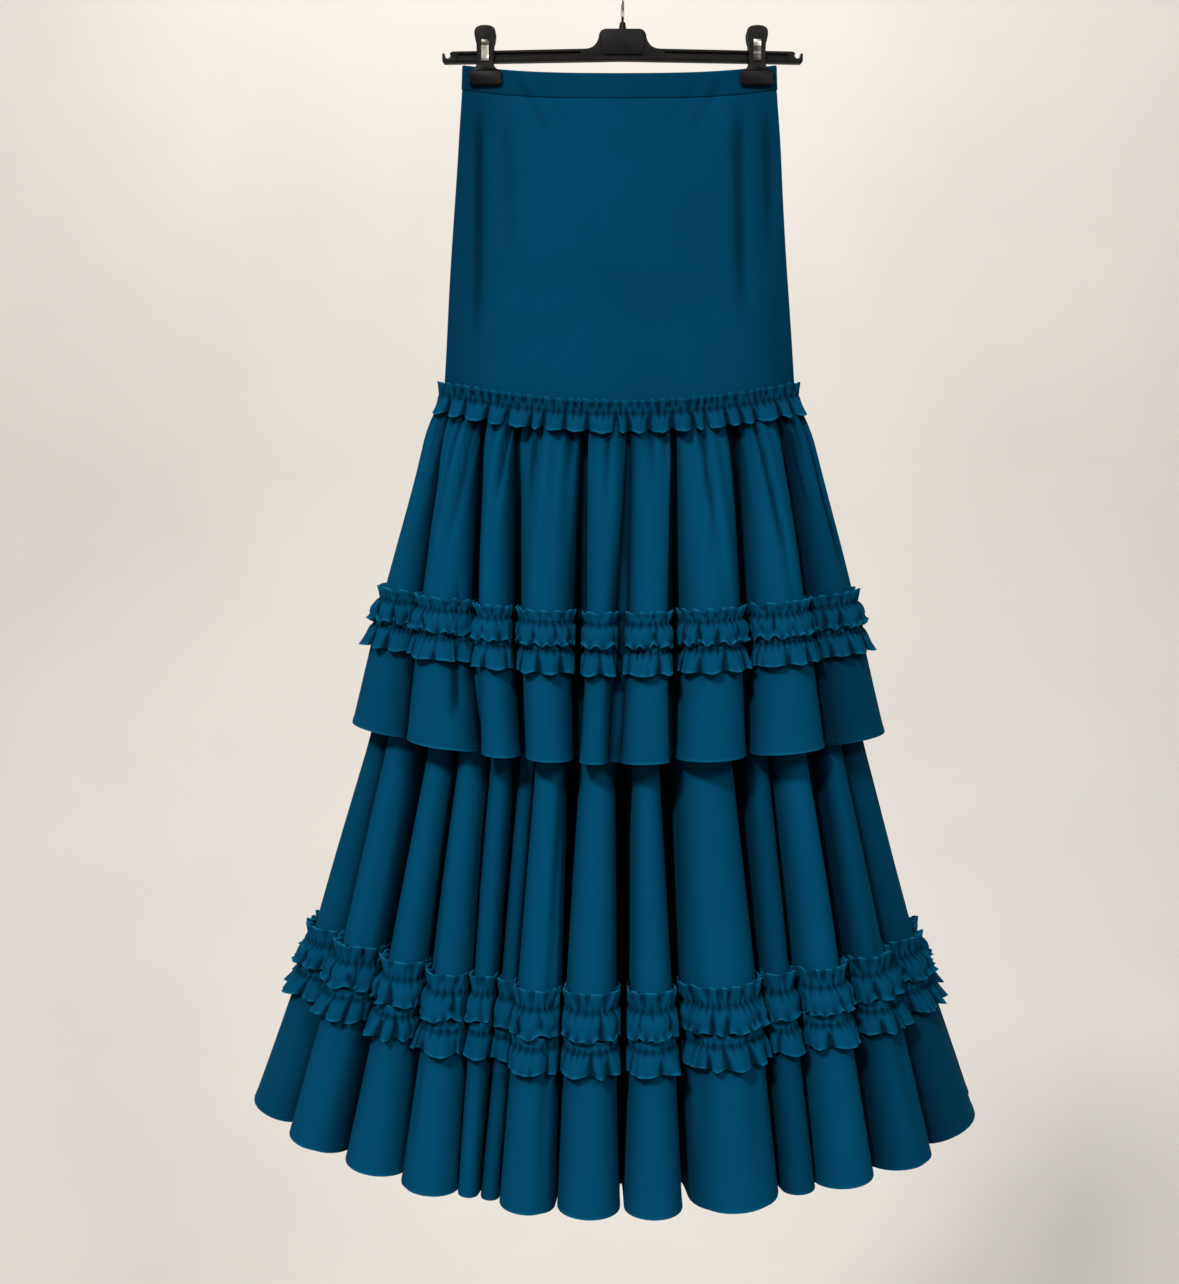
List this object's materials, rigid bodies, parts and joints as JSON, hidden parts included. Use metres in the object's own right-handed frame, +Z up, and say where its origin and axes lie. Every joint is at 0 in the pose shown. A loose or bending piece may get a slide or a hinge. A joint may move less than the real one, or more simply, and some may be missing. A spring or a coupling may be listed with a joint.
{
  "type": "flamenco skirt on a clip hanger",
  "caption": "Long plain skirt with gathered tiers, deep round folds and narrow gathered ruffles, hung by its waistband from a hanger with spring clips and a wire hook.",
  "frame": {"origin": "inside top of the hook, where the hanger bears on its rail", "axes": "+Z up, the skirt's front towards -Y, +X to the right of someone who faces the front"},
  "size_m": [0.7557, 0.3637, 1.166],
  "materials": {
    "skirt_cloth": "matt teal blue crepe",
    "hanger_plastic": "satin black moulded plastic",
    "hook_chrome": "polished wire",
    "spring_steel": "bright spring strip"
  },
  "bodies": {
    "root": {"waistband_front": "skirt_cloth", "waistband_back": "skirt_cloth", "yoke_front": "skirt_cloth", "yoke_back": "skirt_cloth", "tier1_front": "skirt_cloth", "tier1_back": "skirt_cloth", "tier2_front": "skirt_cloth", "tier2_back": "skirt_cloth", "hip_ruffle": "skirt_cloth", "mid_ruffle_upper": "skirt_cloth", "mid_ruffle_lower": "skirt_cloth", "low_ruffle_upper": "skirt_cloth", "low_ruffle_lower": "skirt_cloth", "hanger_bar": "hanger_plastic", "clip_left_front": "hanger_plastic", "clip_left_back": "hanger_plastic", "clip_right_front": "hanger_plastic", "clip_right_back": "hanger_plastic", "hook": "hook_chrome", "clip_left_spring": "spring_steel", "clip_right_spring": "spring_steel"}
  },
  "joints": []
}
